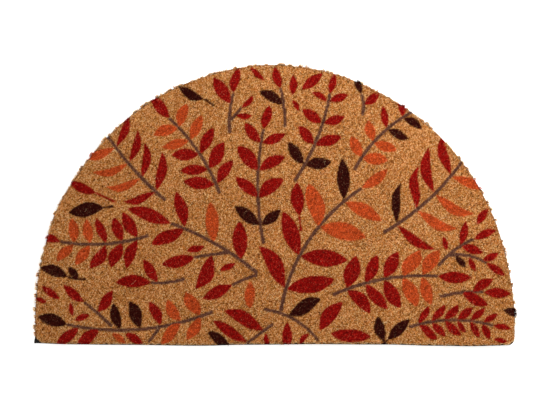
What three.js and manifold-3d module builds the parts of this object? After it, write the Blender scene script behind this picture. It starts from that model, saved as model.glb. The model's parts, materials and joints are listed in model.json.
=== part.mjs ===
// A half-round door mat: cut coir pile on a thin vinyl backing, lying flat on its underside.
// Millimetres. X runs along the straight front edge, Y from that edge to the crown of the arc, Z up.
// The origin is on the floor under the middle of the mat's box.

import * as THREE from "three";
import { mergeVertices } from "three/addons/utils/BufferGeometryUtils.js";
import Module from "manifold-3d";

// Driving dimensions
const MAT_WIDTH = 700;
const MAT_DEPTH = 409.6;
const SIDE_STRAIGHT = 39;
const BACKING_THICKNESS = 2.5;
const PILE_HEIGHT = 12.2;
const BOND_GAP = 0.3;

// The die cut: the backing keeps a sharp, spread left corner, and the pile is worn back from it
const RIGHT_CORNER_RADIUS = 9;
const BACKING_LEFT_RADIUS = 1.5;
const LEFT_CORNER_SPREAD = 2.4;
const LEFT_CORNER_REACH = 12;
const PILE_LEFT_RADIUS = 16;
const PILE_FRONT_SETBACK = 0.9;
const BACKING_ARC_SETBACK = 0.8;

// How far the cut runs outside the true outline, by angle from the right-hand end of the arc
const ARC_WANDER = [
  { angle: 0, out: 1.2 },
  { angle: 14, out: -0.5 },
  { angle: 26, out: 0.4 },
  { angle: 42, out: 0 },
  { angle: 57, out: -1.1 },
  { angle: 66, out: -1.4 },
  { angle: 76, out: -0.2 },
  { angle: 94, out: 1.1 },
  { angle: 108, out: -0.2 },
  { angle: 117, out: 0.7 },
  { angle: 132, out: 0 },
  { angle: 144, out: -0.2 },
  { angle: 153, out: 2.0 },
  { angle: 163, out: -0.5 },
  { angle: 180, out: -1.1 },
];

// The same along the straight front edge, by distance from the middle
const FRONT_WANDER = [
  { across: -350, out: -2.4 },
  { across: -300, out: -0.6 },
  { across: -225, out: 0.1 },
  { across: -105, out: 1.4 },
  { across: -40, out: 0 },
  { across: 60, out: -0.7 },
  { across: 165, out: -0.3 },
  { across: 235, out: 1.4 },
  { across: 283, out: 2.2 },
  { across: 350, out: 0.6 },
];

// The pile's cut side: tufts fan out from their foot, and the top edge is rubbed round
const PILE_PROFILE = [
  { up: 0, inset: 1.1 },
  { up: 5, inset: 0.4 },
  { up: 10.4, inset: 0 },
  { up: 11.6, inset: 0.8 },
  { up: PILE_HEIGHT, inset: 2.2 },
];

const RIM_STEP = 5;
const BACKING_STEP = 3;
const TUFT_JITTER = 0.7;
const TUFT_STRIDE = 2.399; // radians from one rim point to the next, which never falls into a rhythm
const LUMP_DEPTH = 0.8;
const LUMP_PITCH = 14;
// Waves that together make the top as uneven as trodden pile: their length, direction and start
const LUMP_WAVES = [
  { length: 83, heading: 20, start: 0.4 },
  { length: 61, heading: 97, start: 2.1 },
  { length: 47, heading: 151, start: 4.0 },
  { length: 38, heading: 62, start: 1.3 },
];

const wasm = await Module();
wasm.setup();

// A table's value between its rows, eased so that the cut has no kinks.
function eased(rows, key, at) {
  const last = rows.length - 1;
  if (at <= rows[0][key]) return rows[0].out;
  if (at >= rows[last][key]) return rows[last].out;
  const next = rows.findIndex((row) => row[key] >= at);
  const a = rows[next - 1];
  const b = rows[next];
  const share = THREE.MathUtils.smoothstep(at, a[key], b[key]);
  return THREE.MathUtils.lerp(a.out, b.out, share);
}

// The true outline as a path, anticlockwise from the left end of the front edge.
function halfRound({ leftRadius, frontSetback, arcSetback }) {
  const halfWidth = MAT_WIDTH / 2 - arcSetback;
  const rise = MAT_DEPTH - SIDE_STRAIGHT - arcSetback;
  const right = RIGHT_CORNER_RADIUS;
  const path = new THREE.Path();
  path.moveTo(-halfWidth + leftRadius, frontSetback);
  path.lineTo(halfWidth - right, frontSetback);
  path.absarc(halfWidth - right, frontSetback + right, right, -Math.PI / 2, 0);
  path.lineTo(halfWidth, SIDE_STRAIGHT);
  path.absellipse(0, SIDE_STRAIGHT, halfWidth, rise, 0, Math.PI);
  path.lineTo(-halfWidth, frontSetback + leftRadius);
  path.absarc(
    -halfWidth + leftRadius,
    frontSetback + leftRadius,
    leftRadius,
    Math.PI,
    Math.PI * 1.5,
  );
  return path;
}

// Points a step apart along the outline, each with its outward direction, moved as the cut wanders.
function cutOutline(path, step) {
  const count = Math.round(path.getLength() / step);
  const points = path.getSpacedPoints(count).slice(0, count);
  return points.map((point, i) => {
    const before = points[(i + count - 1) % count];
    const after = points[(i + 1) % count];
    const outward = new THREE.Vector2(after.y - before.y, before.x - after.x).normalize();
    const frontShare = Math.max(0, -outward.y);
    const angle = Math.atan2(Math.max(0, point.y - SIDE_STRAIGHT), point.x);
    const wander = THREE.MathUtils.lerp(
      eased(ARC_WANDER, "angle", THREE.MathUtils.radToDeg(angle)),
      eased(FRONT_WANDER, "across", point.x),
      frontShare,
    );
    return { at: point.clone().addScaledVector(outward, wander), outward };
  });
}

// A closed geometry from rings of equal count, stacked upwards, with flat ends.
function lofted(rings) {
  const count = rings[0].length;
  const positions = rings.flat().flatMap((p) => [p.x, p.y, p.z]);
  const index = [];
  for (let level = 0; level < rings.length - 1; level += 1) {
    for (let i = 0; i < count; i += 1) {
      const next = (i + 1) % count;
      const low = level * count;
      const high = low + count;
      index.push(low + i, low + next, high + next);
      index.push(low + i, high + next, high + i);
    }
  }
  const top = (rings.length - 1) * count;
  const flat = (ring) => ring.map((p) => new THREE.Vector2(p.x, p.y));
  for (const [a, b, c] of THREE.ShapeUtils.triangulateShape(flat(rings[0]), [])) {
    index.push(a, c, b);
  }
  for (const [a, b, c] of THREE.ShapeUtils.triangulateShape(flat(rings.at(-1)), [])) {
    index.push(top + a, top + b, top + c);
  }
  const geometry = new THREE.BufferGeometry();
  geometry.setAttribute("position", new THREE.Float32BufferAttribute(positions, 3));
  geometry.setIndex(index);
  return geometry;
}

// The vinyl sheet, cut straight through, with its left corner spread.
function backingGeometry() {
  const outline = cutOutline(
    halfRound({
      leftRadius: BACKING_LEFT_RADIUS,
      frontSetback: 0,
      arcSetback: BACKING_ARC_SETBACK,
    }),
    BACKING_STEP,
  );
  const corner = new THREE.Vector2(-MAT_WIDTH / 2, 0);
  for (const { at } of outline) {
    const near = Math.max(0, 1 - at.distanceTo(corner) / LEFT_CORNER_REACH);
    at.x -= LEFT_CORNER_SPREAD * near;
  }
  const ringAt = (z) => outline.map(({ at }) => new THREE.Vector3(at.x, at.y, z));
  return lofted([ringAt(0), ringAt(BACKING_THICKNESS)]);
}

// The pile's body with its fanned, rubbed side and its ragged rim of tufts.
function pileBodyGeometry() {
  const outline = cutOutline(
    halfRound({
      leftRadius: PILE_LEFT_RADIUS,
      frontSetback: PILE_FRONT_SETBACK,
      arcSetback: TUFT_JITTER,
    }),
    RIM_STEP,
  );
  const foot = BACKING_THICKNESS + BOND_GAP;
  return lofted(
    PILE_PROFILE.map(({ up, inset }) =>
      outline.map(({ at, outward }, i) => {
        const tuft = TUFT_JITTER * Math.sin(i * TUFT_STRIDE);
        const point = at.clone().addScaledVector(outward, tuft - inset);
        return new THREE.Vector3(point.x, point.y, foot + up);
      }),
    ),
  );
}

// A block over the whole mat whose top is the trodden, slightly lumpy surface of the pile.
function lumpyBlockGeometry() {
  const margin = 2 * LUMP_PITCH;
  const width = MAT_WIDTH + margin;
  const depth = MAT_DEPTH + margin;
  const high = BACKING_THICKNESS + BOND_GAP + PILE_HEIGHT;
  const across = Math.round(width / LUMP_PITCH);
  const along = Math.round(depth / LUMP_PITCH);
  const block = new THREE.BoxGeometry(width, depth, high, across, along, 1);
  block.translate(0, MAT_DEPTH / 2, high / 2);
  const place = block.attributes.position;
  for (let i = 0; i < place.count; i += 1) {
    if (place.getZ(i) < high / 2) continue;
    const swell = LUMP_WAVES.map(({ length, heading, start }) => {
      const turn = THREE.MathUtils.degToRad(heading);
      const run = place.getX(i) * Math.cos(turn) + place.getY(i) * Math.sin(turn);
      return Math.sin((2 * Math.PI * run) / length + start);
    });
    const mean = swell.reduce((sum, x) => sum + x, 0) / swell.length;
    place.setZ(i, high - (LUMP_DEPTH * (1 - mean)) / 2);
  }
  return block;
}

// Geometry to a solid, and back.
function solidOf(geometry) {
  const bare = geometry.clone();
  bare.deleteAttribute("normal");
  bare.deleteAttribute("uv");
  const merged = mergeVertices(bare);
  return new wasm.Manifold(
    new wasm.Mesh({
      numProp: 3,
      vertProperties: new Float32Array(merged.attributes.position.array),
      triVerts: new Uint32Array(merged.index.array),
    }),
  );
}

function geometryOf(solid) {
  const mesh = solid.getMesh();
  const geometry = new THREE.BufferGeometry();
  geometry.setAttribute("position", new THREE.BufferAttribute(mesh.vertProperties, 3));
  geometry.setIndex(new THREE.BufferAttribute(mesh.triVerts, 1));
  return geometry;
}

function named(name, geometry, material) {
  geometry.computeVertexNormals();
  const mesh = new THREE.Mesh(geometry, material);
  mesh.name = name;
  return mesh;
}

const coir = new THREE.MeshStandardMaterial({ color: "#b0703e", roughness: 0.95, metalness: 0 });
const vinyl = new THREE.MeshStandardMaterial({ color: "#1c1a19", roughness: 0.55, metalness: 0 });

const pileSolid = solidOf(pileBodyGeometry()).intersect(solidOf(lumpyBlockGeometry()));

const laid = new THREE.Group();
laid.add(named("vinyl_backing", backingGeometry(), vinyl));
laid.add(named("coir_pile", geometryOf(pileSolid), coir));

const box = new THREE.Box3().setFromObject(laid);
const middle = box.getCenter(new THREE.Vector3());
laid.position.set(-middle.x, -middle.y, -box.min.z);

const mat = new THREE.Group();
mat.add(laid);

export default mat;
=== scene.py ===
# A half-round door mat of cut coir pile on a vinyl backing, lying flat.
# The tufts are leaning fibres that stand in a bed; a print of leaf sprigs colours the fibres from above.

import json
import math
from collections import namedtuple
from functools import partial

import bmesh
import bpy
import numpy as np
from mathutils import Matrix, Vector
from mathutils.bvhtree import BVHTree

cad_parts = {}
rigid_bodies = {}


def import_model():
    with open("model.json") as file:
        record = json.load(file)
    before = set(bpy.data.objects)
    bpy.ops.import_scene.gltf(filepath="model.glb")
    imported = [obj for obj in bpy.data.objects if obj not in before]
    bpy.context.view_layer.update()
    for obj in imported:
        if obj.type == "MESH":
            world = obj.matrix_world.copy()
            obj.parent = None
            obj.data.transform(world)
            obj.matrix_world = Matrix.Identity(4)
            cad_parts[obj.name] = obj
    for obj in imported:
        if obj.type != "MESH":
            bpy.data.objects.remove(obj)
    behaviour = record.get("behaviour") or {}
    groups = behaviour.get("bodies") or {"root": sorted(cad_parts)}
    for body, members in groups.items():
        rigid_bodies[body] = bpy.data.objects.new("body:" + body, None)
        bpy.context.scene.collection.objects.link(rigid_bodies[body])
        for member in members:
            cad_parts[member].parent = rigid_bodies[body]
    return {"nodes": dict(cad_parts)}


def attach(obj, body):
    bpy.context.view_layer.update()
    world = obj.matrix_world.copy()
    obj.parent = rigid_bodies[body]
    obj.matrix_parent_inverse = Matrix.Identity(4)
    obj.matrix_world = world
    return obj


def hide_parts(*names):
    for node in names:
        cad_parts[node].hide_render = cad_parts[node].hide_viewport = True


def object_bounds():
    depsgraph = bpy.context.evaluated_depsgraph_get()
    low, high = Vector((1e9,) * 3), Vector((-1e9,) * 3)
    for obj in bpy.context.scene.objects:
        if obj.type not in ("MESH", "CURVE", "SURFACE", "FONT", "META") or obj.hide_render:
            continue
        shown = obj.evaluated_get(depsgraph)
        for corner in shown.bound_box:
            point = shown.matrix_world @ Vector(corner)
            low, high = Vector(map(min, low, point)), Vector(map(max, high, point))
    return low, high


bl_info = {
    "name": "Half-round coir door mat",
    "version": (1, 0, 0),
    "blender": (4, 5, 0),
    "location": "View3D > Sidebar > Door mat",
    "description": "Coir tufts, cut rim, leaf print, vinyl backing and studio for the door mat",
    "category": "Object",
}

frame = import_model()
PILE = frame["nodes"]["coir_pile"]
BACKING = frame["nodes"]["vinyl_backing"]
CAD_BOX = [list(corner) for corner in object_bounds()]
MM = 0.001


def linear(hex_colour):
    """An sRGB colour such as "#B07040" as linear red, green and blue."""
    shares = [int(hex_colour[i : i + 2], 16) / 255 for i in (1, 3, 5)]
    return tuple(c / 12.92 if c <= 0.04045 else ((c + 0.055) / 1.055) ** 2.4 for c in shares)


def eased(low, high, at):
    """0 below low and 1 above high, with a smooth rise between."""
    share = np.clip((at - low) / (high - low), 0, 1)
    return share * share * (3 - 2 * share)


# The settings that a user would change

def length_setting(name, description, millimetres, least):
    return bpy.props.FloatProperty(
        name=name, description=description, default=millimetres * MM, min=least * MM, unit="LENGTH"
    )


def colour_setting(name, description, hex_colour):
    return bpy.props.FloatVectorProperty(
        name=name, description=description, subtype="COLOR", default=linear(hex_colour)
    )


class PileSettings(bpy.types.PropertyGroup):
    """Sizes of the coir pile"""

    tuft_pitch: length_setting("Tuft pitch", "Distance between the middles of neighbouring tufts", 2.2, 1.5)
    fibres_a_tuft: bpy.props.IntProperty(
        name="Fibres a tuft", description="Fibres that stand in one tuft", default=3, min=1
    )
    fibre_width: length_setting(
        "Fibre width", "Width of a bundle of fibres that stands for a few real ones", 0.72, 0.1
    )
    bed_depth: length_setting(
        "Bed depth", "How far below the tips the packed part of the pile lies", 2.6, 0.5
    )
    bed_pitch: length_setting("Bed mesh", "Edge length of the bed's mesh", 2.1, 1.0)
    lean: bpy.props.FloatProperty(
        name="Lean",
        description="Usual angle of a fibre to the upright",
        default=math.radians(13),
        subtype="ANGLE",
    )


class ColourSettings(bpy.types.PropertyGroup):
    """Colours of the coir, the inks, the backing and the floor"""

    coir_dark: colour_setting("Dark fibre", "Husk-brown fibre", "#4E210C")
    coir_tan: colour_setting("Tan fibre", "The usual fibre", "#C98743")
    coir_straw: colour_setting("Straw fibre", "Pale fibre", "#F5DAA8")
    ink_red: colour_setting("Red ink", "Deep red of most leaves", "#970F0C")
    ink_orange: colour_setting("Orange ink", "Orange leaves", "#C25325")
    ink_plum: colour_setting("Plum ink", "Near-black plum leaves", "#3A0D09")
    ink_stem: colour_setting("Stem ink", "Mauve-grey stems", "#6B4639")
    vinyl: colour_setting("Vinyl", "Black backing", "#100F0F")
    floor: colour_setting("Floor", "Plain pale floor", "#F4F4F2")


# The mat's outline and its top, read from the frame

def cut_line(node, level):
    """The node's outline at a height, as points in order round the mat."""
    bm = bmesh.new()
    bm.from_mesh(node.data)
    bmesh.ops.remove_doubles(bm, verts=bm.verts, dist=1e-6)
    cut = bmesh.ops.bisect_plane(
        bm, geom=bm.verts[:] + bm.edges[:] + bm.faces[:], plane_co=(0, 0, level), plane_no=(0, 0, 1)
    )
    points = np.array([v.co[:2] for v in cut["geom_cut"] if isinstance(v, bmesh.types.BMVert)])
    bm.free()
    middle = points.mean(0)
    order = np.argsort(np.arctan2(points[:, 1] - middle[1], points[:, 0] - middle[0]))
    return points[order]


class Ground:
    """The pile's plan: how far a place lies inside the cut edge, and the height of the top over it."""

    CELL = 2.5 * MM
    MARGIN = 4 * CELL
    # A hit lower than this share of the pile's height is on the cut side, and the top there, as outside
    # the mat, is taken to lie a little under its highest point
    TOP_SHARE = 0.9
    EDGE_FALL = 0.4 * MM
    RAY_START = 1.0

    def __init__(self, outline, node):
        self.outline = outline
        self.corner = outline.min(0)
        self.far_corner = outline.max(0)
        self.low = self.corner - self.MARGIN
        size = np.ceil((self.far_corner + self.MARGIN - self.low) / self.CELL).astype(int) + 1
        places = np.stack(np.meshgrid(*[np.arange(n) for n in size], indexing="ij"), -1)
        places = places.reshape(-1, 2) * self.CELL + self.low
        self.inset = self.signed_distance(places).reshape(size)
        self.top = self.height(places, node).reshape(size)

    def signed_distance(self, places):
        """The distance to the outline: above 0 inside it and below 0 outside."""
        a, b = self.outline, np.roll(self.outline, -1, 0)
        nearest = np.full(len(places), np.inf)
        crossed = np.zeros(len(places), bool)
        for (ax, ay), (bx, by) in zip(a, b):
            dx, dy = bx - ax, by - ay
            px, py = places[:, 0] - ax, places[:, 1] - ay
            share = np.clip((px * dx + py * dy) / (dx * dx + dy * dy), 0, 1)
            nearest = np.minimum(nearest, np.hypot(px - share * dx, py - share * dy))
            if ay != by:
                spans = (places[:, 1] < ay) != (places[:, 1] < by)
                crossed ^= spans & (px < py * dx / dy)
        return np.where(crossed, nearest, -nearest)

    def height(self, places, node):
        tree = BVHTree.FromObject(node, bpy.context.evaluated_depsgraph_get())
        high = max(v.co.z for v in node.data.vertices)
        down = Vector((0, 0, -1))
        found = np.empty(len(places))
        for i, (x, y) in enumerate(places):
            hit = tree.ray_cast((x, y, self.RAY_START), down)[0]
            found[i] = hit.z if hit and hit.z > self.TOP_SHARE * high else high - self.EDGE_FALL
        return found

    def read(self, values, places):
        """A grid's value at each place, worked out from the four cells round it."""
        at = (places - self.low) / self.CELL
        cell = np.clip(np.floor(at).astype(int), 0, np.array(values.shape) - 2)
        (i, j), (u, v) = cell.T, (at - cell).T
        near = values[i, j] * (1 - v) + values[i, j + 1] * v
        far = values[i + 1, j] * (1 - v) + values[i + 1, j + 1] * v
        return near * (1 - u) + far * u

    def inset_at(self, places):
        return self.read(self.inset, places)

    def top_at(self, places):
        return self.read(self.top, places)

    def inward(self, places):
        """The direction straight in from the cut edge."""
        step = 0.5 * self.CELL
        slope = np.stack(
            [
                self.inset_at(places + (step, 0)) - self.inset_at(places - (step, 0)),
                self.inset_at(places + (0, step)) - self.inset_at(places - (0, step)),
            ],
            1,
        )
        return slope / np.maximum(np.linalg.norm(slope, axis=1), 1e-9)[:, None]


# The print: sprigs of leaves, in millimetres from the middle of the front edge

# A leaf's width and the bow of its rib as shares of its length, how full its middle is, and the stem's width
Habit = namedtuple("Habit", "slim curl full stem")
HABITS = {
    "grand": Habit(0.35, 0.0, 0.75, 5.6),
    "broad": Habit(0.44, 0.0, 0.75, 5.2),
    "willow": Habit(0.25, 0.09, 0.85, 5.4),
    "lance": Habit(0.26, 0.03, 0.75, 4.8),
    "fern": Habit(0.41, 0.0, 0.75, 4.8),
    "twig": Habit(0.43, 0.02, 0.75, 5.0),
    "lone": Habit(0.45, 0.02, 0.78, 3.6),
}

# foot: where the stem starts. stem: its heading, length and bend. inks: of the leaves to its left and
# right from the foot up, and of the leaf at its end, each r red, o orange or p plum, or . for a gap.
# lengths: of the lowest, the highest and the end leaf. rows: how far up the stem the lowest and the
# highest leaves stand, in per cent. angles: between a leaf and the stem, and how far both sides turn.
Sprig = namedtuple("Sprig", "habit foot stem inks lengths rows angles")
SPRIGS = [
    Sprig(*row)
    for row in (
        ("grand", (9, 53), (80, 216, -47), ("rrop", "rroo", "o"), (71, 62, 52), (14, 86), (57, -7)),
        ("grand", (-27, 107), (140, 142, 20), ("..r", "ror", "r"), (54, 56, 65), (20, 86), (55, 0)),
        ("broad", (-17, 151), (101, 164, -22), ("prrr", "prrr", "r"), (46, 38, 34), (15, 88), (52, -6)),
        ("broad", (-81, 224), (111, 130, 26), ("rrroo", "rrroo", "r"), (45, 35, 39), (9, 86), (62, 2)),
        ("broad", (-186, 160), (198, 126, -28), ("rrroo", "rrroo", "r"), (42, 36, 34), (11, 85), (64, -11)),
        ("broad", (-92, 49), (202, 212, -34), ("oo...rr", "oorpp", "p"), (38, 40, 43), (8, 92), (58, -17)),
        ("broad", (30, 242), (56, 135, 24), ("prrr", "prrr", "r"), (40, 28, 29), (18, 92), (60, 8)),
        ("broad", (117, 258), (62, 118, -34), ("oorr", "oopp", ""), (34, 31, 0), (16, 87), (61, -3)),
        ("broad", (86, 75), (24, 153, -28), ("rrroo", "rrroo", "r"), (49, 43, 52), (13, 86), (62, -7)),
        ("willow", (-161, 213), (139, 123, -14), ("rooo", "rrrr", ""), (54, 50, 0), (13, 84), (58, 4)),
        ("willow", (160, 166), (30, 151, 24), ("prrr", "rooo", ""), (66, 60, 0), (13, 84), (58, -8)),
        ("fern", (197, 28), (18, 120, -34), ("rrrrrr", "rrrrrr", "r"), (32, 25, 24), (10, 88), (48, -6)),
        ("twig", (-133, 97), (197, 46, -22), ("", "r", "r"), (37, 37, 50), (80, 80), (55, 5)),
        ("twig", (-66, 136), (186, 50, 4), ("r", "", "r"), (50, 50, 46), (50, 50), (56, 0)),
        ("twig", (-27, 103), (198, 36, 8), ("", "", "r"), (0, 0, 48), (0, 0), (0, 0)),
        ("twig", (-238, 30), (136, 50, 6), ("", "r", "r"), (38, 38, 40), (55, 55), (78, 0)),
        ("twig", (-168, 26), (233, 24, 0), ("", "", ""), (0, 0, 0), (0, 0), (0, 0)),
        ("twig", (-66, 312), (94, 56, -18), ("r", "", "r"), (43, 43, 36), (72, 72), (42, 0)),
        ("twig", (-63, 331), (48, 20, 0), ("", "r", "r"), (23, 23, 25), (35, 35), (48, 0)),
        ("twig", (15, 321), (90, 54, 14), ("p", "", "r"), (40, 40, 32), (58, 58), (52, 0)),
        ("twig", (128, 338), (75, 28, 34), ("", "r", "p"), (28, 28, 28), (45, 45), (56, 0)),
        ("twig", (239, 118), (50, 62, -26), (".r", ".r", "r"), (24, 33, 34), (32, 66), (45, -3)),
        ("twig", (251, 131), (12, 57, -44), ("..r", "pr.", "r"), (21, 27, 36), (20, 90), (56, 0)),
        ("twig", (242, 72), (16, 60, -20), (".r", "r.", "r"), (40, 33, 41), (50, 75), (32, 0)),
        ("twig", (-14, 53), (-8, 90, -44), ("p", "", ""), (52, 52, 0), (38, 38), (52, 0)),
        ("lance", (-4, 31), (216, 44, 0), ("", "rr", ""), (66, 59, 0), (32, 100), (66, 0)),
        ("lone", (-276, 97), (184, 24, -22), ("", "p", "p"), (24, 24, 43), (35, 35), (42, 0)),
        ("lone", (157, 3), (42, 8, 0), ("p", "", "p"), (37, 37, 45), (30, 30), (65, 0)),
    )
]
# Leaves by themselves: the foot, the heading and the length of the stalk, the leaf's length and its ink
SPRIGS += [
    Sprig("lone", (x, y), (heading, stalk, 0), ("", "", ink), (0, 0, length), (0, 0), (0, 0))
    for x, y, heading, stalk, length, ink in (
        (-234, 210, 155, 28, 41, "r"),
        (-236, 203, 188, 12, 54, "p"),
        (-90, 351, 146, 15, 41, "p"),
        (-268, 46, 202, 0, 21, "r"),
        (-293, 42, 103, 0, 22, "r"),
        (-311, 67, 144, 0, 33, "r"),
        (-330, 63, 165, 0, 20, "r"),
        (-190, 3, 150, 0, 28, "r"),
        (-216, 3, 140, 0, 31, "o"),
        (-101, 146, 200, 0, 27, "r"),
        (-56, 121, 207, 0, 30, "r"),
        (-36, 53, 89, 0, 44, "o"),
        (-64, 0, 154, 0, 36, "p"),
        (-9, -4, 98, 0, 24, "r"),
        (17, -9, 92, 0, 46, "r"),
        (35, 2, 45, 0, 20, "r"),
        (38, 168, 97, 20, 55, "r"),
        (64, 22, 51, 0, 54, "r"),
        (80, 18, -8, 0, 60, "r"),
        (26, 364, 86, 0, 31, "r"),
        (38, 373, 40, 0, 35, "r"),
        (36, 341, 118, 0, 22, "r"),
        (-14, 387, 144, 0, 28, "r"),
        (250, 138, 98, 0, 21, "r"),
        (293, 175, 60, 0, 28, "r"),
        (330, 53, -17, 0, 30, "p"),
        (316, 10, -8, 0, 20, "r"),
    )
]
Leaf = namedtuple("Leaf", "ink x y heading length width curl sway full")
INKS = {"r": "red", "o": "orange", "p": "plum", "s": "stem"}
# A stem is drawn in straight steps, and narrows to this share of its width
STEM_STEPS = 24
STEM_TIP = 0.85
# In mm: half the soft edge of an ink, and the room between leaves, to other stems and on one sprig
INK_EDGE = 0.5
LEAF_ROOM = 0.5
STEM_ROOM = 0.3
OWN_ROOM = 0.6
# The sizes that are tried for a leaf, and how slim a sprig's end leaf is beside the others
LEAF_SIZES = (1.0, 0.9, 0.8, 0.7, 0.6)
END_SLIM = 0.88
# A leaf starts inside its stem, by a share of the stem's width, and a curled one turns back at its tip
FOOT_OFF = 0.4
TIP_BACK = 0.2
# How leaves of one habit differ: in degrees of heading, and in shares of the rest
Spread = namedtuple("Spread", "heading length width curl sway full")
SPREAD = Spread(heading=3, length=0.05, width=0.08, curl=0.03, sway=0.01, full=0.06)
# Where along a leaf the discs lie that test its room, and how many of them may touch its own sprig
DISC_SHARES = np.linspace(0.06, 0.94, 9)
NEAR_STEM = 2
LAYOUT_SEED = 2


def stem_path(sprig):
    share = (np.arange(STEM_STEPS) + 0.5) / STEM_STEPS
    heading, length, bend = sprig.stem
    turn = np.radians(heading + bend * share)
    run = np.stack([np.cos(turn), np.sin(turn)], 1) * length / STEM_STEPS
    return np.vstack([[0, 0], np.cumsum(run, 0)]) + sprig.foot


def half_width(leaf, share):
    """Half a leaf's width along it: pointed at both ends and widest in the middle."""
    return leaf.width / 2 * np.sin(np.pi * np.clip(share, 0, 1)) ** leaf.full


def side_bend(leaf, share):
    """How far a leaf's rib runs off its straight line."""
    arch = leaf.curl * np.sin(np.pi * share)
    wave = leaf.sway * np.sin(2 * np.pi * share)
    return leaf.length * (arch + wave)


def midrib(leaf, share):
    head = np.radians(leaf.heading)
    along = leaf.length * share
    off = side_bend(leaf, share)
    across = (along * np.cos(head) - off * np.sin(head), along * np.sin(head) + off * np.cos(head))
    return np.stack(across, -1) + (leaf.x, leaf.y)


def discs(leaf):
    """The leaf as a row of discs, to test its room."""
    return np.column_stack([midrib(leaf, DISC_SHARES), half_width(leaf, DISC_SHARES)])


def clear_of(mine, others, room):
    apart = np.hypot(*(mine[:, None, :2] - others[None, :, :2]).transpose(2, 0, 1))
    return bool((apart - mine[:, None, 2] - others[None, :, 2] > room).all())


def stem_discs(path, width):
    return np.column_stack([path, np.full(len(path), width / 2)])


def wanted_leaves(sprig, path, rng, scale=1):
    """Each leaf of a sprig, as the same leaf in smaller and smaller sizes."""
    habit = HABITS[sprig.habit]
    heading, _, bend = sprig.stem
    left, right, end = sprig.inks
    first, last, tip = sprig.lengths
    spread, skew = sprig.angles
    count = max(len(left), len(right))
    wanted = []
    for row, up in enumerate(np.linspace(*sprig.rows, count) / 100):
        foot = [np.interp(up, np.linspace(0, 1, len(path)), path[:, k]) for k in (0, 1)]
        length = first + (last - first) * row / max(1, count - 1)
        for side, inks in ((1, left), (-1, right)):
            if row < len(inks) and inks[row] != ".":
                wanted.append((inks[row], foot, heading + bend * up + skew + side * spread, length, side))
    if end:
        wanted.append((end, path[-1], heading + bend, tip, 0))
    for ink, foot, heading, length, side in wanted:
        grow, swing, broad, curl, sway, full = rng.normal(0, 1, 6)
        heading += SPREAD.heading * swing
        length *= scale * (1 + SPREAD.length * grow)
        slim = habit.slim * (1 if side else END_SLIM)
        turn = np.radians(heading)
        off = FOOT_OFF * habit.stem * np.array([np.cos(turn), np.sin(turn)])
        yield [
            Leaf(
                ink,
                *(foot + off),
                heading,
                length * size,
                slim * length * size * (1 + SPREAD.width * broad),
                SPREAD.curl * curl + side * habit.curl,
                SPREAD.sway * sway - TIP_BACK * side * habit.curl,
                habit.full + SPREAD.full * full,
            )
            for size in LEAF_SIZES
        ]


def lay_out_print():
    """The stems and the leaves. A leaf with too little room is made smaller, or left out."""
    rng = np.random.default_rng(LAYOUT_SEED)
    sprays = [s for s in SPRIGS if s.habit != "lone"]
    stems = [("s", stem_path(s), HABITS[s.habit].stem) for s in sprays]
    chains = [stem_discs(path, width) for _, path, width in stems]
    leaves, taken = [], np.zeros((0, 3))
    for n, sprig in enumerate(sprays):
        others = np.vstack([chain for k, chain in enumerate(chains) if k != n])
        own = np.zeros((0, 3))
        for leaf_sizes in wanted_leaves(sprig, stems[n][1], rng):
            for leaf in leaf_sizes:
                mine = discs(leaf)
                outer = mine[NEAR_STEM:]
                free = clear_of(mine, taken, LEAF_ROOM) and clear_of(mine, others, STEM_ROOM)
                if free and clear_of(outer, own, OWN_ROOM):
                    leaves.append(leaf)
                    own = np.vstack([own, outer])
                    break
        taken = np.vstack([taken, own])
    taken = np.vstack([taken, *chains])
    for sprig in (s for s in SPRIGS if s.habit == "lone"):
        path, width = stem_path(sprig), HABITS["lone"].stem
        for size in LEAF_SIZES:
            group = [leaf_sizes[0] for leaf_sizes in wanted_leaves(sprig, path, rng, size)]
            mine = np.vstack([stem_discs(path, width)] + [discs(leaf) for leaf in group])
            if clear_of(mine, taken, LEAF_ROOM):
                leaves += group
                if sprig.stem[1]:
                    stems.append((sprig.inks[-1], path, width))
                taken = np.vstack([taken, mine])
                break
    return stems, leaves


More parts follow.
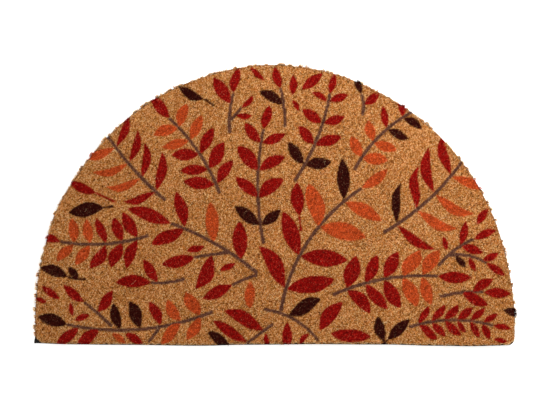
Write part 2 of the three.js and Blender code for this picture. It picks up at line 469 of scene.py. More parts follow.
class LeafPrint:
    """How much of each ink lies at a place on the mat."""

    LEAF_REACH = 0.55
    MARGIN = 4
    OUTSIDE = 9

    def __init__(self, ground):
        low, high = ground.corner, ground.far_corner
        self.origin = np.array([(low[0] + high[0]) / 2, low[1]])
        self.stems, self.leaves = lay_out_print()

    def inks_at(self, places):
        at = (places - self.origin) / MM
        inks = {name: np.zeros(len(at)) for name in INKS.values()}
        for ink, path, width in self.stems:
            self.stamp(
                inks[INKS[ink]], at, path.min(0), path.max(0), lambda p: self.stem_edge(p, path, width)
            )
        for leaf in self.leaves:
            middle = midrib(leaf, np.array(0.5))
            reach = leaf.length * self.LEAF_REACH
            self.stamp(
                inks[INKS[leaf.ink]], at, middle - reach, middle + reach, lambda p: self.leaf_edge(p, leaf)
            )
        return inks

    def stamp(self, ink, at, low, high, edge):
        """Inks the places in a box whose distance to a shape's edge, below 0 inside it, allows it."""
        near = np.flatnonzero(((at > low - self.MARGIN) & (at < high + self.MARGIN)).all(1))
        if len(near):
            ink[near] = np.maximum(ink[near], 1 - eased(-INK_EDGE, INK_EDGE, edge(at[near])))

    @staticmethod
    def stem_edge(at, path, width):
        nearest = np.full(len(at), np.inf)
        for a, b, share in zip(path[:-1], path[1:], np.linspace(1, STEM_TIP, STEM_STEPS)):
            run = b - a
            along = np.clip((at - a) @ run / (run @ run), 0, 1)
            off = at - a - along[:, None] * run
            nearest = np.minimum(nearest, np.hypot(off[:, 0], off[:, 1]) - width / 2 * share)
        return nearest

    def leaf_edge(self, at, leaf):
        head = np.radians(leaf.heading)
        x, y = (at - (leaf.x, leaf.y)).T
        share = (x * np.cos(head) + y * np.sin(head)) / leaf.length
        across = y * np.cos(head) - x * np.sin(head)
        gap = np.abs(across - side_bend(leaf, np.clip(share, 0, 1))) - half_width(leaf, share)
        return np.where((share < 0) | (share > 1), self.OUTSIDE, gap)


CUT_LEVEL = 10 * MM
GROUND = Ground(cut_line(PILE, CUT_LEVEL), PILE)
PRINT = LeafPrint(GROUND)


# Materials

def add_node(tree, kind, sockets=None, **settings):
    """Adds a node and gives its outputs. A socket's value is a number, a colour or another's output."""
    node = tree.nodes.new("ShaderNode" + kind)
    for name, value in settings.items():
        setattr(node, name, value)
    for name, value in (sockets or {}).items():
        if isinstance(value, bpy.types.NodeSocket):
            tree.links.new(value, node.inputs[name])
        else:
            node.inputs[name].default_value = value
    return node.outputs


def new_material(name):
    """A material with no nodes yet, and what adds a node to it."""
    material = bpy.data.materials.new(name)
    material.use_nodes = True
    material.node_tree.nodes.clear()
    return material, partial(add_node, material.node_tree)


def opaque(colour):
    return (*colour, 1)


# The Mix node's colour sockets, by place, because their names repeat
MIX_A, MIX_B, MIX_OUT = 6, 7, 2
BLEND = {"data_type": "RGBA"}
MULTIPLY = {"data_type": "RGBA", "blend_type": "MULTIPLY"}
# Sizes of the patterns in the coir and in the vinyl
BUNDLE = 1.3 * MM
CAST = 5 * MM
PATCH = 70 * MM
PEBBLE = 1.6 * MM
PEBBLE_DEPTH = 0.3 * MM
WEAR = 30 * MM
DUST = 0.9 * MM
# A fibre's tone is its own and these shares of its bundle's and its patch's, brought to the ramp's middle
BUNDLE_SHARE = 0.82
PATCH_SHARE = 0.08
TONE_DROP = 0.45
SCUFF = 0.015
RED_CAST = (1.02, 0.98, 0.99, 1)
YELLOW_CAST = (0.97, 1.03, 0.98, 1)
# What the deepest fibre's colour is multiplied by: painted shade of the deep pile
PAINTED_DEEP_SHADE = (0.68, 0.57, 0.48, 1)
CLEAR = (1, 1, 1, 1)


def coir_material(colours):
    """Cut coir, the bristly fibre of coconut husk: dull, from husk brown to straw, inked from above."""
    material, add = new_material("cut_coir_printed")
    place = add("TexCoord")["Object"]
    tone = add("Attribute", attribute_name="tone")["Fac"]
    up = add("Attribute", attribute_name="up")["Fac"]
    # Fibres lie in bundles of a few, each with a tone of its own. A real bundle is half a millimetre wide,
    # and is drawn as coarse as it needs to be to show
    bundle = add("TexVoronoi", {"Vector": place, "Scale": 1 / BUNDLE}, voronoi_dimensions="2D")["Color"]
    # Bales of fibre differ a little, in patches as wide as a hand
    patch = add("TexNoise", {"Vector": place, "Scale": 1 / PATCH, "Detail": 1.0})[0]
    level = tone
    for pattern, share in ((bundle, BUNDLE_SHARE), (patch, PATCH_SHARE)):
        level = add("Math", {0: pattern, 1: share, 2: level}, operation="MULTIPLY_ADD")[0]
    level = add("Math", {0: level, 1: TONE_DROP}, operation="SUBTRACT", use_clamp=True)[0]
    ramp = add("ValToRGB", {"Fac": level})["Color"]
    stops = ramp.node.color_ramp.elements
    stops[0].color = opaque(colours.coir_dark)
    stops[1].color = opaque(colours.coir_straw)
    stops.new(0.5).color = opaque(colours.coir_tan)
    # Husks ripen to a red or a yellow brown, and fibres of one husk stay together
    husk = add("TexNoise", {"Vector": place, "Scale": 1 / CAST, "Detail": 2.0})[0]
    ripe = add("MapRange", {"Value": husk, "From Min": 0.35, "From Max": 0.65})[0]
    cast = add("Mix", {0: ripe, MIX_A: RED_CAST, MIX_B: YELLOW_CAST}, **BLEND)[MIX_OUT]
    colour = add("Mix", {0: 1.0, MIX_A: ramp, MIX_B: cast}, **MULTIPLY)[MIX_OUT]
    # Ink soaks a few millimetres down, and lies a little thinner on the palest fibres
    soak = add("MapRange", {"Value": up, "From Max": 0.3, "To Min": 0.96})[0]
    thin = add("MapRange", {"Value": level, "From Min": 0.75, "To Min": 1, "To Max": 0.8})[0]
    hold = add("Math", {0: soak, 1: thin}, operation="MULTIPLY")[0]
    light = add("MapRange", {"Value": level, "To Min": 0.35, "To Max": 1.65})[0]
    lit = add("CombineColor", {0: light, 1: light, 2: light})[0]
    for ink in ("stem", "orange", "red", "plum"):
        amount = add("Attribute", attribute_name=ink)["Fac"]
        cover = add("Math", {0: amount, 1: hold}, operation="MULTIPLY")[0]
        dye = opaque(getattr(colours, "ink_" + ink))
        wet = add("Mix", {0: 1.0, MIX_A: dye, MIX_B: lit}, **MULTIPLY)[MIX_OUT]
        colour = add("Mix", {0: cover, MIX_A: colour, MIX_B: wet}, **BLEND)[MIX_OUT]
    # Painted shade, with some dust: deep in the pile, where shade falls between the fibres, the colour is
    # drawn darker and warmer
    shade = add("Mix", {0: up, MIX_A: PAINTED_DEEP_SHADE, MIX_B: CLEAR}, **BLEND)[MIX_OUT]
    colour = add("Mix", {0: 1.0, MIX_A: colour, MIX_B: shade}, **MULTIPLY)[MIX_OUT]
    surface = add("BsdfPrincipled", {"Base Color": colour, "Roughness": 0.85, "Specular IOR Level": 0.03})
    add("OutputMaterial", {"Surface": surface[0]})
    return material


def vinyl_material(colours):
    """Calendered soft vinyl sheet: black, matt, with a fine pebble grain and a little coir dust."""
    material, add = new_material("calendered_vinyl")
    place = add("TexCoord")["Object"]
    pebble = add("TexVoronoi", {"Vector": place, "Scale": 1 / PEBBLE})["Distance"]
    cloud = add("TexNoise", {"Vector": place, "Scale": 1 / WEAR, "Detail": 4.0})[0]
    dust = add("TexNoise", {"Vector": place, "Scale": 1 / DUST, "Detail": 1.0})[0]
    speck = add("MapRange", {"Value": dust, "From Min": 0.68, "From Max": 0.74, "To Max": 0.5})[0]
    worn = add("MapRange", {"Value": cloud, "From Min": 0.4, "From Max": 0.75, "To Max": 0.35})[0]
    black = opaque(colours.vinyl)
    scuffed = opaque([c + SCUFF for c in colours.vinyl])
    colour = add("Mix", {0: worn, MIX_A: black, MIX_B: scuffed}, **BLEND)[MIX_OUT]
    colour = add("Mix", {0: speck, MIX_A: colour, MIX_B: opaque(colours.coir_tan)}, **BLEND)[MIX_OUT]
    rough = add("MapRange", {"Value": cloud, "To Min": 0.45, "To Max": 0.65})[0]
    bump = add("Bump", {"Height": pebble, "Strength": 0.35, "Distance": PEBBLE_DEPTH})[0]
    surface = add(
        "BsdfPrincipled",
        {
            "Base Color": colour,
            "Roughness": rough,
            "Normal": bump,
            "IOR": 1.53,
            "Specular IOR Level": 0.12,
        },
    )
    add("OutputMaterial", {"Surface": surface[0]})
    return material


def floor_material(colours):
    """White acrylic light table, faintly lit from below, so that the mat throws only a soft shadow."""
    material, add = new_material("acrylic_light_table")
    surface = add(
        "BsdfPrincipled",
        {
            "Base Color": opaque(colours.floor),
            "Roughness": 0.9,
            "Emission Color": opaque(colours.floor),
            "Emission Strength": 0.5,
        },
    )
    add("OutputMaterial", {"Surface": surface[0]})
    return material


# Meshes of many fibres, made from arrays

def coir():
    return bpy.data.materials.get("cut_coir_printed") or coir_material(bpy.context.scene.mat_colours)


def add_to_mat(piece):
    """A finished coir piece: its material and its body."""
    piece.data.materials.clear()
    piece.data.materials.append(coir())
    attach(piece, "root")


def cell_places(count, share):
    """Each of count fibres gets its own square of the bake map; share holds places within a square."""
    across = math.ceil(math.sqrt(count))
    corner = np.stack([np.arange(count) % across, np.arange(count) // across], 1)
    return (corner[:, None] + share[None]) / across


def fibre_mesh(name, points, faces, places, tone, up, ink_share=1.0):
    """A piece of like fibres: points of each, and the faces of one with their places on the bake map."""
    count, each = points.shape[:2]
    triangles = (np.arange(count) * each)[:, None, None] + faces
    points = points.reshape(-1, 3)
    mesh = bpy.data.meshes.new(name)
    mesh.vertices.add(len(points))
    mesh.vertices.foreach_set("co", points.astype(np.float32).ravel())
    mesh.loops.add(triangles.size)
    mesh.loops.foreach_set("vertex_index", triangles.astype(np.int32).ravel())
    mesh.polygons.add(triangles.size // 3)
    mesh.polygons.foreach_set("loop_start", np.arange(0, triangles.size, 3, dtype=np.int32))
    mesh.update(calc_edges=True)
    inks = {ink: amount * ink_share for ink, amount in PRINT.inks_at(points[:, :2]).items()}
    give_values(mesh, {"tone": np.repeat(tone, each), "up": up, **inks})
    bake_map = cell_places(count, places).astype(np.float32)
    mesh.uv_layers.new(name="OFBake").uv.foreach_set("vector", bake_map.ravel())
    piece = bpy.data.objects.new(name, mesh)
    bpy.context.scene.collection.objects.link(piece)
    add_to_mat(piece)


def give_values(mesh, values):
    """A number at each point of the mesh, for each of values."""
    for key, numbers in values.items():
        layer = mesh.attributes.new(key, "FLOAT", "POINT")
        layer.data.foreach_set("value", np.asarray(numbers, np.float32))


def unit(vectors):
    return vectors / np.linalg.norm(vectors, axis=-1, keepdims=True)


def sideways(axis, rng):
    """Along each fibre, two directions square to it and to each other, turned at random."""
    spin = rng.uniform(0, 2 * np.pi, len(axis))
    lead = np.stack([np.cos(spin), np.sin(spin), 0 * spin + 0.1], 1)[:, None]
    first = unit(np.cross(axis, lead))
    return first, np.cross(axis, first)


SLIVER_FACES = np.array([(0, 1, 2), (0, 3, 1), (1, 3, 2), (2, 3, 0)])
SLIVER_MAP = np.array([(0.2, 0.2), (0.8, 0.2), (0.2, 0.8), (0.8, 0.8)])


def slivers(name, feet, tips, width, tone, rng):
    """Straight fibres: each has one edge across its foot and one across its tip, and four faces."""
    first, second = sideways(unit(tips - feet)[:, None], rng)
    half = width[:, None] / 2
    foot, tip = first[:, 0] * half, second[:, 0] * half
    points = np.stack([feet - foot, feet + foot, tips - tip, tips + tip], 1)
    # Feet count as deepest and tips as highest, for the ink's soak and for the painted shade of the deep
    # pile
    up = np.tile([0, 0, 1, 1], len(feet))
    fibre_mesh(name, points, SLIVER_FACES, SLIVER_MAP[SLIVER_FACES.ravel()], tone, up)


def strands(name, paths, widths, tone, up, rng, ink_share=1.0):
    """Bent three-sided fibres along paths of a few points each, closed at both ends."""
    count, rings = paths.shape[:2]
    first, second = sideways(unit(np.gradient(paths, axis=1)), rng)
    turns = np.arange(3) * 2 * np.pi / 3
    rim = first[:, :, None] * np.cos(turns)[:, None] + second[:, :, None] * np.sin(turns)[:, None]
    points = paths[:, :, None] + rim * (widths / 2)[:, :, None, None]
    faces, places = [], []
    for ring in range(rings - 1):
        v0, v1 = 0.2 + 0.6 * np.array([ring, ring + 1]) / (rings - 1)
        for side in range(3):
            a, b = ring * 3 + side, ring * 3 + (side + 1) % 3
            u0, u1 = 0.2 + 0.2 * side, 0.4 + 0.2 * side
            faces += [(a, b, b + 3), (a, b + 3, a + 3)]
            places += [(u0, v0), (u1, v0), (u1, v1), (u0, v0), (u1, v1), (u0, v1)]
    last = 3 * (rings - 1)
    faces += [(0, 2, 1), (last, last + 1, last + 2)]
    for v in (0.2, 0.7):
        places += [(0.2, v), (0.8, v), (0.5, v + 0.1)]
    points = points.reshape(count, -1, 3)
    up = np.repeat(up.ravel(), 3)
    fibre_mesh(name, points, np.array(faces), np.array(places), tone, up, ink_share)


# Tones run from 0, husk brown, through 0.5, tan, to 1, straw, before the bundles add theirs
FIBRE_TONE = 0.58
TONE_SPREAD = 0.05
ODD_SHARE = 0.06
STRAW_TONES = (0.8, 1.0)
HUSK_TONES = (0.05, 0.25)


def fibre_tones(count, rng, tuft=0.0):
    """Most fibres are near the usual tone, a few are straw and as few are husk brown."""
    tone = FIBRE_TONE + TONE_SPREAD * rng.normal(size=count) + tuft
    pick = rng.uniform(size=count)
    tone = np.where(pick < ODD_SHARE, rng.uniform(*STRAW_TONES, count), tone)
    return np.where(pick > 1 - ODD_SHARE, rng.uniform(*HUSK_TONES, count), tone)


# The lean's slow swings over the mat: how far they go, and their lengths in millimetres
NAP_LEAN = 0.06
NAP_WAVES = (31, 23, 57, 41, 29)


def nap(places):
    """The way the pile leans, which changes slowly over the mat."""
    x, y = places.T / MM
    a, b, c, d, e = NAP_WAVES
    across = np.sin(x / a + 1.3) + np.sin(y / b + x / c)
    return NAP_LEAN * np.stack([across, np.sin(x / d - y / e) + 0.4], 1)


# Operators, one for each piece or group of like pieces

class MAT_OT_pile_bed(bpy.types.Operator):
    """Packed lower part of the pile, in the place of the plain solid"""

    bl_idname = "doormat.pile_bed"
    bl_label = "Pile bed"
    EDGE_INSET = 2.0 * MM
    FOOT = 2.9 * MM
    TRIM_SLACK = 0.4
    RIM_PULLS = 3
    LUMP_WIDTH = 3.2 * MM
    LUMP_HEIGHT = 0.8 * MM
    # Painted shade: the bed is drawn in a darker tone than the fibres, and its up stays low and falls with
    # depth, so that it is drawn darker still
    SHADED_TONE = 0.38
    UP = 0.25
    UP_LOST_A_MM = 0.1
    UP_MOST = 0.6

    def execute(self, context):
        settings = context.scene.mat_pile
        span = GROUND.far_corner - GROUND.corner
        middle = (GROUND.corner + GROUND.far_corner) / 2
        bpy.ops.mesh.primitive_grid_add(
            x_subdivisions=round(span[0] / settings.bed_pitch),
            y_subdivisions=round(span[1] / settings.bed_pitch),
            size=1,
            location=(*middle, CAD_BOX[1][2] - settings.bed_depth),
        )
        bed = context.active_object
        bed.name = bed.data.name = "pile_bed"
        bed.scale = (*span, 1)
        bpy.ops.object.transform_apply(location=True, rotation=True, scale=True)
        self.trim(bed, settings)
        self.close(bed)
        self.roughen(bed, settings)
        give_values(bed.data, self.values(bed, settings))
        add_to_mat(bed)
        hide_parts("coir_pile")
        return {"FINISHED"}

    def trim(self, bed, settings):
        """Cuts the grid to the mat's outline and pulls its edge onto it."""
        bpy.ops.object.mode_set(mode="EDIT")
        bm = bmesh.from_edit_mesh(bed.data)
        places = np.array([v.co[:2] for v in bm.verts])
        outside = GROUND.inset_at(places) < self.EDGE_INSET - settings.bed_pitch * self.TRIM_SLACK
        for vert, out in zip(bm.verts, outside):
            vert.select_set(bool(out))
        bm.select_flush_mode()
        bmesh.update_edit_mesh(bed.data)
        bpy.ops.mesh.delete(type="VERT")
        bm = bmesh.from_edit_mesh(bed.data)
        loose = [v for v in bm.verts if len(v.link_faces) < 2]
        bmesh.ops.delete(bm, geom=loose, context="VERTS")
        rim = [v for v in bm.verts if v.is_boundary]
        for _ in range(self.RIM_PULLS):
            places = np.array([v.co[:2] for v in rim])
            move = GROUND.inward(places) * (self.EDGE_INSET - GROUND.inset_at(places))[:, None]
            for vert, (dx, dy) in zip(rim, move):
                vert.co.x += dx
                vert.co.y += dy
        bmesh.update_edit_mesh(bed.data)
        bpy.ops.object.mode_set(mode="OBJECT")
        top = bed.vertex_groups.new(name="top")
        top.add(range(len(bed.data.vertices)), 1.0, "REPLACE")

    def close(self, bed):
        """Draws the edge down to the backing and closes the underside."""
        bpy.ops.object.mode_set(mode="EDIT")
        bpy.ops.mesh.select_mode(type="EDGE")
        bpy.ops.mesh.select_all(action="DESELECT")
        bm = bmesh.from_edit_mesh(bed.data)
        for edge in bm.edges:
            edge.select_set(edge.is_boundary)
        bmesh.update_edit_mesh(bed.data)
        drop = self.FOOT - min(v.co.z for v in bm.verts)
        bpy.ops.mesh.extrude_edges_move(TRANSFORM_OT_translate={"value": (0, 0, drop)})
        bpy.ops.object.vertex_group_set_active(group="top")
        bpy.ops.object.vertex_group_remove_from()
        bpy.ops.mesh.edge_face_add()
        bpy.ops.mesh.select_all(action="SELECT")
        bpy.ops.mesh.normals_make_consistent(inside=False)
        bpy.ops.object.mode_set(mode="OBJECT")

    def roughen(self, bed, settings):
        """Lays the top a bed's depth under the tips, and makes it lumpy as packed fibre."""
        sink = bed.modifiers.new("under the tips", "SHRINKWRAP")
        sink.target = PILE
        sink.wrap_method = "PROJECT"
        sink.use_project_z = True
        sink.use_negative_direction = True
        sink.use_positive_direction = True
        sink.vertex_group = "top"
        bpy.ops.object.modifier_apply(modifier=sink.name)
        lump = bpy.data.textures.new("packed fibre", "CLOUDS")
        lump.noise_scale = self.LUMP_WIDTH
        lump.noise_depth = 1
        rough = bed.modifiers.new("packed fibre", "DISPLACE")
        rough.texture = lump
        rough.texture_coords = "LOCAL"
        rough.direction = "Z"
        rough.vertex_group = "top"
        rough.strength = self.LUMP_HEIGHT
        rough.mid_level = 0.5 + settings.bed_depth / rough.strength
        bpy.ops.object.modifier_apply(modifier=rough.name)

    def values(self, bed, settings):
        """The bed's tone, darker than the fibres' as painted shade between the tufts, its ink, and how far
        up the pile each place lies, which sets how much painted shade of the deep pile it gets.
        """
        rng = np.random.default_rng(5)
        count = len(bed.data.vertices)
        points = np.empty(3 * count, np.float32)
        bed.data.vertices.foreach_get("co", points)
        points = points.reshape(-1, 3).astype(float)
        below = GROUND.top_at(points[:, :2]) - points[:, 2]
        up = self.UP - self.UP_LOST_A_MM * (below - settings.bed_depth) / MM
        return {
            "tone": self.SHADED_TONE + TONE_SPREAD * rng.normal(size=count),
            "up": np.clip(up, 0, self.UP_MOST),
            **PRINT.inks_at(points[:, :2]),
        }


class MAT_OT_tufts(bpy.types.Operator):
    """Tufts of cut fibre over the whole face, in bands from the front to the crown"""

    bl_idname = "doormat.tufts"
    bl_label = "Tufts"
    BANDS = 4
    EDGE_INSET = 1.3 * MM
    TIP_INSET = 0.2 * MM
    BURIED = 1.0 * MM
    FOOT_RING = 0.35 * MM
    UNEVEN_TUFTS = 0.2 * MM
    UNEVEN_TIPS = 0.4 * MM
    # Shares of the usual lean: a tuft's any way, a fibre's out of its tuft, and a fibre's any way
    TUFT_LEAN = 0.5
    OUT_LEAN = (0.1, 1.3)
    FIBRE_LEAN = 0.35
    WIDTHS = (0.75, 1.3)
    TONE_SWING = 0.06

    def execute(self, context):
        settings = context.scene.mat_pile
        rng = np.random.default_rng(21)
        spots = self.spots(settings.tuft_pitch, rng)
        count = settings.fibres_a_tuft
        tufts = len(spots)
        turn = rng.uniform(0, 2 * np.pi, (tufts, 1)) + np.arange(count) * 2 * np.pi / count
        turn = turn + rng.normal(0, 0.4, turn.shape)
        out = np.stack([np.cos(turn), np.sin(turn)], -1)
        slope = math.tan(settings.lean)
        lean = nap(spots)[:, None] + self.TUFT_LEAN * slope * rng.normal(size=(tufts, 1, 2))
        lean = lean + out * slope * rng.uniform(*self.OUT_LEAN, (tufts, count, 1))
        lean = lean + self.FIBRE_LEAN * slope * rng.normal(size=(tufts, count, 2))
        top = GROUND.top_at(spots)[:, None] + self.UNEVEN_TUFTS * rng.normal(size=(tufts, 1))
        tip = top - np.abs(self.UNEVEN_TIPS * rng.normal(size=(tufts, count)))
        foot = top - settings.bed_depth - self.BURIED + 0 * tip
        feet = np.concatenate([spots[:, None] + self.FOOT_RING * out, foot[..., None]], -1)
        reach = (tip - foot)[..., None]
        tips = np.concatenate([feet[..., :2] + lean * reach, tip[..., None]], -1)
        feet, tips = feet.reshape(-1, 3), tips.reshape(-1, 3)
        tips[:, :2] = kept_in(tips[:, :2], self.TIP_INSET)
        width = settings.fibre_width * rng.uniform(*self.WIDTHS, len(feet))
        tone = fibre_tones(len(feet), rng, np.repeat(self.TONE_SWING * rng.normal(size=tufts), count))
        cut = np.quantile(feet[:, 1], np.linspace(0, 1, self.BANDS + 1)[1:-1])
        band = np.searchsorted(cut, feet[:, 1])
        for n in range(self.BANDS):
            own = band == n
            slivers(f"tufts_{n + 1}", feet[own], tips[own], width[own], tone[own], rng)
        return {"FINISHED"}

    def spots(self, pitch, rng):
        low, high = GROUND.corner, GROUND.far_corner
        rows = np.arange(low[1], high[1], pitch * math.sqrt(0.75))
        across = np.arange(low[0], high[0], pitch)
        x, y = np.meshgrid(across, rows)
        x[1::2] += pitch / 2
        spots = np.stack([x.ravel(), y.ravel()], 1)
        spots = spots + rng.normal(0, 0.2 * pitch, spots.shape)
        return spots[GROUND.inset_at(spots) > self.EDGE_INSET]


def out_and_along(feet):
    """At each foot, the directions straight out of the cut and along it."""
    out = -GROUND.inward(feet)
    return out, np.stack([-out[:, 1], out[:, 0]], 1)


def kept_in(places, inset):
    """Moves places that stray over the cut edge back inside it."""
    short = inset - GROUND.inset_at(places)
    return places + GROUND.inward(places) * np.maximum(short, 0)[:, None]


class MAT_OT_rim(bpy.types.Operator):
    """Fibres that show from top to foot on the cut side, some of them frayed out of it"""

    bl_idname = "doormat.rim"
    bl_label = "Cut rim"
    ROWS = ((0.9, 0.50), (1.5, 0.60), (2.2, 0.75))  # inset of the feet and spacing along the rim, in mm
    FOOT = 2.7 * MM
    TUFT = 5.0 * MM
    # How far tips stand out of the cut, in mm: all of them, with their tuft and one by one. Where the cut
    # is tight only a share of the last two is left
    SPLAY = 0.3
    TUFT_SPLAY = 2.3
    FIBRE_SPLAY = (0.1, 0.5)
    TIED = 0.1
    SWINGS = (-1.5, 1.2)
    # Where a fibre bends, as shares of its height, and how soon it leaves the upright
    RINGS = (0, 0.55, 1)
    FAN = 0.7
    FRAYED = 1900
    FRAYED_INSET = 1.2 * MM
    FRAYED_GAP = 1.0 * MM
    FRAYED_TIED = 0.15
    DROOP = 0.5 * MM

    def execute(self, context):
        rng = np.random.default_rng(33)
        feet = np.vstack([self.row(inset * MM, gap * MM, rng) for inset, gap in self.ROWS])
        count = len(feet)
        out, along = out_and_along(feet)
        loose = self.TIED + (1 - self.TIED) * self.fray(feet)
        tuft, lit_tuft_tone = self.tuft_swing(feet, rng)
        stray = rng.normal(*self.FIBRE_SPLAY, count)
        splay = (self.SPLAY + (self.TUFT_SPLAY * tuft + stray) * loose) * MM
        sway = rng.normal(0, 0.6, count) * MM
        tip = GROUND.top_at(feet) - np.abs(rng.normal(0.3, 0.5, count)) * MM
        paths = np.empty((count, len(self.RINGS), 3))
        for ring, share in enumerate(self.RINGS):
            kink = rng.normal(0, 0.12, count) * MM * ring
            push = splay * share ** self.FAN + kink
            paths[:, ring, :2] = feet + out * push[:, None] + along * (sway * share)[:, None]
            paths[:, ring, 2] = self.FOOT + (tip - self.FOOT) * share
        widths = rng.uniform(0.42, 0.75, (count, 1)) * MM * np.array([1.0, 1.0, 0.75])
        # How much of the painted shade of the deep pile each ring gets: the open cut side is drawn only a
        # little darker at its feet
        up = np.tile([0.5, 0.75, 1.0], (count, 1))
        strands("rim_fibres", paths, widths, fibre_tones(count, rng, lit_tuft_tone), up, rng)
        self.frayed_fibres(rng)
        return {"FINISHED"}

    def frayed_fibres(self, rng):
        """Single fibres that bend out of the cut."""
        feet = self.row(self.FRAYED_INSET, self.FRAYED_GAP, rng)
        loose = self.FRAYED_TIED + (1 - self.FRAYED_TIED) * self.fray(feet)
        feet = feet[rng.uniform(size=len(feet)) < loose]
        feet = feet[rng.permutation(len(feet))[: self.FRAYED]]
        count = len(feet)
        out, along = out_and_along(feet)
        heading = out + along * rng.normal(0, 0.8, (count, 1))
        reach = self.FRAYED_INSET + rng.gamma(2.0, 0.55, count) * MM
        low = rng.uniform(4, 10, count) * MM
        rise = rng.uniform(0.6, 3.2, count) * MM
        taper = np.array([1.0, 1.0, 0.9, 0.5])
        rings = np.linspace(0, 1, len(taper))
        paths = np.empty((count, len(taper), 3))
        for ring, share in enumerate(rings):
            paths[:, ring, :2] = feet + heading * (reach * share)[:, None]
            height = low + rise * share - self.DROOP * share * share
            paths[:, ring, 2] = np.minimum(height, GROUND.top_at(feet))
        widths = rng.uniform(0.3, 0.5, (count, 1)) * MM * taper
        # How much of the painted shade of the deep pile each ring gets, less towards the tip
        up = np.tile(0.5 + 0.5 * rings, (count, 1))
        strands("rim_frayed", paths, widths, fibre_tones(count, rng), up, rng)

    def fray(self, places):
        """How loose the cut is: 1 round the arc, and less along the front and at its left corner."""
        front = eased(2 * MM, 14 * MM, places[:, 1] - GROUND.corner[1])
        corner = np.hypot(*(places - GROUND.corner).T)
        return front * eased(8 * MM, 24 * MM, corner)

    def tuft_swing(self, feet, rng):
        """A lean and a tone that the fibres of one tuft share; the tone is raised by a tenth as painted
        light on the cut side.
        """
        cell = np.floor(feet / self.TUFT).astype(int)
        tuft = np.unique(cell, axis=0, return_inverse=True)[1].ravel()
        count = tuft.max() + 1
        swing = np.clip(rng.normal(0, 1, count), *self.SWINGS)
        # Painted light: the rim's tufts are drawn a tenth paler, as light falls on the cut side, on top of
        # each tuft's own random tone
        tone = 0.1 + 0.1 * rng.normal(0, 1, count)
        return swing[tuft], tone[tuft]

    def row(self, inset, gap, rng):
        """Feet along the cut line, a gap apart."""
        loop = np.vstack([GROUND.outline, GROUND.outline[:1]])
        run = np.r_[0, np.cumsum(np.linalg.norm(np.diff(loop, axis=0), axis=1))]
        at = np.arange(0, run[-1], gap)
        at = at + rng.normal(0, 0.3 * gap, len(at))
        line = np.stack([np.interp(at, run, loop[:, k]) for k in (0, 1)], 1)
        want = inset + rng.normal(0, 0.18, len(at)) * MM
        for _ in range(2):
            line = line + GROUND.inward(line) * (want - GROUND.inset_at(line))[:, None]
        return line


class MAT_OT_strays(bpy.types.Operator):
    """Long loose fibres that lie over the face"""

    bl_idname = "doormat.strays"
    bl_label = "Stray fibres"
    COUNT = 110
    EDGE_INSET = 9 * MM
    RINGS = 6
    ARCH = 0.25 * MM
    SINK = 0.3 * MM
    INK_SHARE = 0.8

    def execute(self, context):
        rng = np.random.default_rng(8)
        spots = rng.uniform(GROUND.corner, GROUND.far_corner, (4 * self.COUNT, 2))
        spots = spots[GROUND.inset_at(spots) > self.EDGE_INSET][: self.COUNT]
        count = len(spots)
        length = rng.uniform(5, 13, count) * MM
        heading = rng.uniform(0, 2 * np.pi, count)
        bend = rng.normal(0, 0.9, count)
        share = np.linspace(0, 1, self.RINGS)
        turn = heading[:, None] + bend[:, None] * share
        step = (length / (self.RINGS - 1))[:, None]
        run = np.cumsum(np.stack([np.cos(turn), np.sin(turn)], -1) * step[..., None], 1)
        plan = spots[:, None] + run - run.mean(1, keepdims=True)
        rise = self.ARCH * np.sin(np.pi * share) - self.SINK
        height = GROUND.top_at(plan.reshape(-1, 2)).reshape(count, -1) + rise
        paths = np.concatenate([plan, height[..., None]], -1)
        widths = rng.uniform(0.25, 0.4, (count, 1)) * MM * np.ones(self.RINGS)
        tone = rng.uniform(0.55, 1.0, count)
        up = np.ones((count, self.RINGS))
        strands("stray_fibres", paths, widths, tone, up, rng, self.INK_SHARE)
        return {"FINISHED"}


class MAT_OT_backing(bpy.types.Operator):
    """Finish of the vinyl backing, whose shape stays as it is"""

    bl_idname = "doormat.backing"
    bl_label = "Backing"

    def execute(self, context):
        BACKING.data.materials.clear()
        BACKING.data.materials.append(vinyl_material(context.scene.mat_colours))
        return {"FINISHED"}


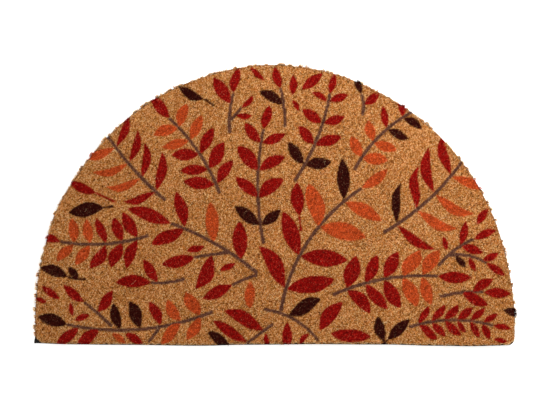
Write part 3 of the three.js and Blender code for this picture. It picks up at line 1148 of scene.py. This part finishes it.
class MAT_OT_stage(bpy.types.Operator):
    """Plain floor, soft studio light and a camera at the photo's angle"""

    bl_idname = "doormat.stage"
    bl_label = "Stage"
    LENS = 120
    SENSOR = 36
    FRAME_PIXELS = 550
    MAT_PIXELS = 481.5
    TILT = 3  # degrees from straight above, towards the front edge
    AIM = (0.5 * MM, -2.3 * MM)
    FLOOR_SIZE = 12
    FLOOR_DROP = 0.1 * MM
    # Each lamp's name, place, side and watts
    LAMPS = (
        ("key", (0.66, 0.78, 0.97), 0.8, 32.5),
        ("fill", (-1.0, -0.7, 2.2), 2.0, 16),
    )
    SKY = 0.62

    def execute(self, context):
        self.floor(context)
        self.lights(context)
        self.camera(context)
        context.scene.view_settings.view_transform = "Standard"
        return {"FINISHED"}

    def floor(self, context):
        bpy.ops.mesh.primitive_plane_add(size=self.FLOOR_SIZE, location=(0, 0, -self.FLOOR_DROP))
        floor = context.active_object
        floor.name = "floor"
        floor.data.materials.append(floor_material(context.scene.mat_colours))

    def lights(self, context):
        for name, place, size, power in self.LAMPS:
            bpy.ops.object.light_add(type="AREA", location=place)
            lamp = context.active_object
            lamp.name = name
            lamp.data.size = size
            lamp.data.energy = power
            lamp.rotation_euler = (-Vector(place)).to_track_quat("-Z", "Y").to_euler()
        world = bpy.data.worlds.new("studio")
        world.use_nodes = True
        sky = world.node_tree.nodes["Background"]
        sky.inputs["Color"].default_value = CLEAR
        sky.inputs["Strength"].default_value = self.SKY
        context.scene.world = world

    def camera(self, context):
        width = CAD_BOX[1][0] - CAD_BOX[0][0]
        seen = width * self.FRAME_PIXELS / self.MAT_PIXELS
        distance = seen * self.LENS / self.SENSOR
        tilt = math.radians(self.TILT)
        back = Vector((0, -math.sin(tilt), math.cos(tilt)))
        target = Vector((*self.AIM, CAD_BOX[1][2]))
        bpy.ops.object.camera_add(location=target + back * distance)
        camera = context.active_object
        camera.rotation_euler = (tilt, 0, 0)
        camera.data.lens = self.LENS
        camera.data.sensor_width = self.SENSOR
        context.scene.camera = camera


class MAT_PT_panel(bpy.types.Panel):
    """The mat's operators and settings"""

    bl_idname = "MAT_PT_panel"
    bl_label = "Door mat"
    bl_space_type = "VIEW_3D"
    bl_region_type = "UI"
    bl_category = "Door mat"

    def draw(self, context):
        for operator in OPERATORS:
            self.layout.operator(operator.bl_idname)
        for group in (context.scene.mat_pile, context.scene.mat_colours):
            box = self.layout.box()
            for key in group.__annotations__:
                box.prop(group, key)


OPERATORS = (
    MAT_OT_pile_bed,
    MAT_OT_tufts,
    MAT_OT_rim,
    MAT_OT_strays,
    MAT_OT_backing,
    MAT_OT_stage,
)
CLASSES = (PileSettings, ColourSettings, *OPERATORS, MAT_PT_panel)


def register():
    for cls in CLASSES:
        bpy.utils.register_class(cls)
    bpy.types.Scene.mat_pile = bpy.props.PointerProperty(type=PileSettings)
    bpy.types.Scene.mat_colours = bpy.props.PointerProperty(type=ColourSettings)


def unregister():
    del bpy.types.Scene.mat_colours
    del bpy.types.Scene.mat_pile
    for cls in reversed(CLASSES):
        bpy.utils.unregister_class(cls)


def plan_area(outline):
    x, y = outline.T
    return abs(x @ np.roll(y, -1) - y @ np.roll(x, -1)) / 2


def main():
    register()
    bpy.ops.doormat.pile_bed()
    bpy.ops.doormat.tufts()
    bpy.ops.doormat.rim()
    bpy.ops.doormat.strays()
    bpy.ops.doormat.backing()
    bpy.ops.doormat.stage()
    fibres = [o for o in bpy.data.objects if o.name.startswith(("tufts_", "rim_", "stray_"))]
    plan_area(GROUND.outline)


if __name__ == "__main__":
    main()
